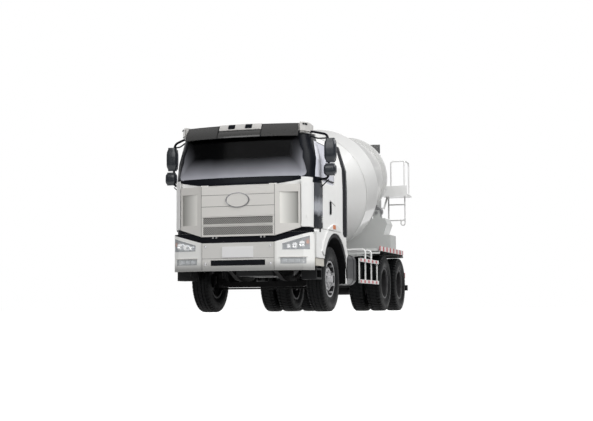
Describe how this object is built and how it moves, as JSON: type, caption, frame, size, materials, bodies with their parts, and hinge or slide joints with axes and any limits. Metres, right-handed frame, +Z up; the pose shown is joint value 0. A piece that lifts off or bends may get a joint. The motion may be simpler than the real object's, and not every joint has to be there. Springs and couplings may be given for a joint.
{
  "type": "concrete mixer truck",
  "caption": "Three-axle mixer lorry: flat-fronted tilting cab, inclined turning drum on a frame, hopper, swinging discharge chute, ladder and side guards.",
  "frame": {"origin": "on the ground, under the middle of the whole vehicle", "axes": "+Z up, the cab faces -Y, +X is the truck's left"},
  "size_m": [2.95, 9.157, 3.75],
  "materials": {
    "cab_paint": "gloss",
    "side_paint": "gloss",
    "lid_paint": "gloss",
    "black_plastic": "satin",
    "glass": "clear",
    "lamp_glass": "clear",
    "tail_red": "gloss",
    "frame_paint": "satin",
    "axle_paint": "satin",
    "engine_iron": "satin",
    "wheel_steel": "satin",
    "tyre": "matte",
    "drum_paint": "gloss",
    "mixer_paint": "satin",
    "roller_steel": "satin",
    "hopper_paint": "satin",
    "white_paint": "gloss",
    "tank_metal": "satin",
    "seat_fabric": "matte",
    "dash_plastic": "matte"
  },
  "bodies": {
    "chassis": {"chassis_frame": "frame_paint", "mixer_subframe": "mixer_paint", "front_pedestal": "mixer_paint", "rear_pedestal": "mixer_paint", "drum_drive": "engine_iron", "engine_block": "engine_iron", "front_axle": "axle_paint", "leaf_springs": "axle_paint", "drive_axles": "axle_paint", "propeller_shaft": "axle_paint", "fuel_tank": "tank_metal", "air_tanks": "frame_paint", "side_guards": "white_paint", "rear_fenders": "mixer_paint", "underrun_bar": "frame_paint", "tail_lamps": "tail_red", "hopper": "hopper_paint", "discharge_funnel": "hopper_paint", "ladder_platform": "white_paint", "bumper": "cab_paint", "front_lamps": "lamp_glass", "entry_steps": "frame_paint"},
    "cab": {"cab_shell": "side_paint", "windscreen": "glass", "sun_visor": "black_plastic", "corner_deflectors": "side_paint", "side_trims": "black_plastic", "mirrors": "black_plastic", "wheel_arches": "side_paint", "seats": "seat_fabric", "dashboard": "dash_plastic"},
    "left_door": {"door_left": "side_paint", "door_glass_left": "glass"},
    "right_door": {"door_right": "side_paint", "door_glass_right": "glass"},
    "lid": {"front_lid": "lid_paint"},
    "left_knuckle": {"knuckle_left": "axle_paint"},
    "right_knuckle": {"knuckle_right": "axle_paint"},
    "tie_rod": {"tie_rod": "axle_paint"},
    "front_left_wheel": {"wheel_front_left": "wheel_steel", "tyre_front_left": "tyre"},
    "front_right_wheel": {"wheel_front_right": "wheel_steel", "tyre_front_right": "tyre"},
    "drum": {"mixer_drum": "drum_paint"},
    "left_roller": {"drum_roller_left": "roller_steel"},
    "right_roller": {"drum_roller_right": "roller_steel"},
    "turret": {"chute_turret": "mixer_paint"},
    "chute": {"chute": "mixer_paint"},
    "jack_barrel": {"jack_barrel": "frame_paint"},
    "jack_rod": {"jack_rod": "roller_steel"},
    "rear_1_left_wheels": {"wheels_rear_1_left": "wheel_steel", "tyres_rear_1_left": "tyre"},
    "rear_1_right_wheels": {"wheels_rear_1_right": "wheel_steel", "tyres_rear_1_right": "tyre"},
    "rear_2_left_wheels": {"wheels_rear_2_left": "wheel_steel", "tyres_rear_2_left": "tyre"},
    "rear_2_right_wheels": {"wheels_rear_2_right": "wheel_steel", "tyres_rear_2_right": "tyre"}
  },
  "joints": [
    {"name": "cab_tilt", "type": "hinge", "parent": "chassis", "child": "cab", "pos_m": [0, -4.503, 1.2], "axis": [1, 0, 0], "range_deg": [0, 50]},
    {"name": "left_door_hinge", "type": "hinge", "parent": "cab", "child": "left_door", "pos_m": [1.225, -4.001, 2], "axis": [0, 0, -1], "range_deg": [0, 70]},
    {"name": "right_door_hinge", "type": "hinge", "parent": "cab", "child": "right_door", "pos_m": [-1.225, -4.001, 2], "axis": [0, 0, 1], "range_deg": [0, 70]},
    {"name": "lid_hinge", "type": "hinge", "parent": "cab", "child": "lid", "pos_m": [0, -4.529, 2.034], "axis": [-1, 0, 0], "range_deg": [0, 70]},
    {"name": "left_steer", "type": "hinge", "parent": "chassis", "child": "left_knuckle", "pos_m": [0.85, -3.185, 0.545], "axis": [0, 0, 1], "range_deg": [-38, 38]},
    {"name": "right_steer", "type": "hinge", "parent": "chassis", "child": "right_knuckle", "pos_m": [-0.85, -3.185, 0.545], "axis": [0, 0, 1], "range_deg": [-38, 38]},
    {"name": "tie_rod_pivot", "type": "hinge", "parent": "left_knuckle", "child": "tie_rod", "pos_m": [0.85, -2.995, 0.4], "axis": [0, 0, 1], "range_deg": [-38, 38]},
    {"name": "front_left_spin", "type": "hinge", "parent": "left_knuckle", "child": "front_left_wheel", "pos_m": [1.01, -3.185, 0.545], "axis": [1, 0, 0], "continuous": true},
    {"name": "front_right_spin", "type": "hinge", "parent": "right_knuckle", "child": "front_right_wheel", "pos_m": [-1.01, -3.185, 0.545], "axis": [1, 0, 0], "continuous": true},
    {"name": "rear_1_left_spin", "type": "hinge", "parent": "chassis", "child": "rear_1_left_wheels", "pos_m": [0.915, 0.525, 0.545], "axis": [1, 0, 0], "continuous": true},
    {"name": "rear_1_right_spin", "type": "hinge", "parent": "chassis", "child": "rear_1_right_wheels", "pos_m": [-0.915, 0.525, 0.545], "axis": [1, 0, 0], "continuous": true},
    {"name": "rear_2_left_spin", "type": "hinge", "parent": "chassis", "child": "rear_2_left_wheels", "pos_m": [0.915, 1.875, 0.545], "axis": [1, 0, 0], "continuous": true},
    {"name": "rear_2_right_spin", "type": "hinge", "parent": "chassis", "child": "rear_2_right_wheels", "pos_m": [-0.915, 1.875, 0.545], "axis": [1, 0, 0], "continuous": true},
    {"name": "drum_spin", "type": "hinge", "parent": "chassis", "child": "drum", "pos_m": [0, 0.425, 2.483], "axis": [0, 0.9781, 0.2079], "continuous": true},
    {"name": "left_roller_spin", "type": "hinge", "parent": "chassis", "child": "left_roller", "pos_m": [0.60784, 2.49414, 2.12743], "axis": [0, 0.9781, 0.2079], "continuous": true},
    {"name": "right_roller_spin", "type": "hinge", "parent": "chassis", "child": "right_roller", "pos_m": [-0.60784, 2.49414, 2.12743], "axis": [0, 0.9781, 0.2079], "continuous": true},
    {"name": "chute_swivel", "type": "hinge", "parent": "chassis", "child": "turret", "pos_m": [0, 3.375, 1.2], "axis": [0, 0, 1], "range_deg": [-80, 80]},
    {"name": "chute_lift", "type": "hinge", "parent": "turret", "child": "chute", "pos_m": [0, 3.375, 1.8], "axis": [1, 0, 0], "range_deg": [-12, 14]},
    {"name": "jack_barrel_pivot", "type": "hinge", "parent": "turret", "child": "jack_barrel", "pos_m": [0, 3.535, 1.06], "axis": [1, 0, 0], "range_deg": [-11.14, 9.58]},
    {"name": "jack_rod_slide", "type": "slide", "parent": "jack_barrel", "child": "jack_rod", "axis": [0, 0.2189, 0.9757], "range_m": [-0.0687, 0.08]}
  ],
  "couplings": [
    {"joint": "right_steer", "follows": "left_steer", "ratio": 1},
    {"joint": "tie_rod_pivot", "follows": "left_steer", "ratio": -1},
    {"joint": "left_roller_spin", "follows": "drum_spin", "ratio": -7.0902},
    {"joint": "right_roller_spin", "follows": "drum_spin", "ratio": -7.0902},
    {"joint": "jack_barrel_pivot", "follows": "chute_lift", "ratio": -0.78155},
    {"joint": "jack_rod_slide", "follows": "chute_lift", "m_per_rad": 0.32319}
  ]
}
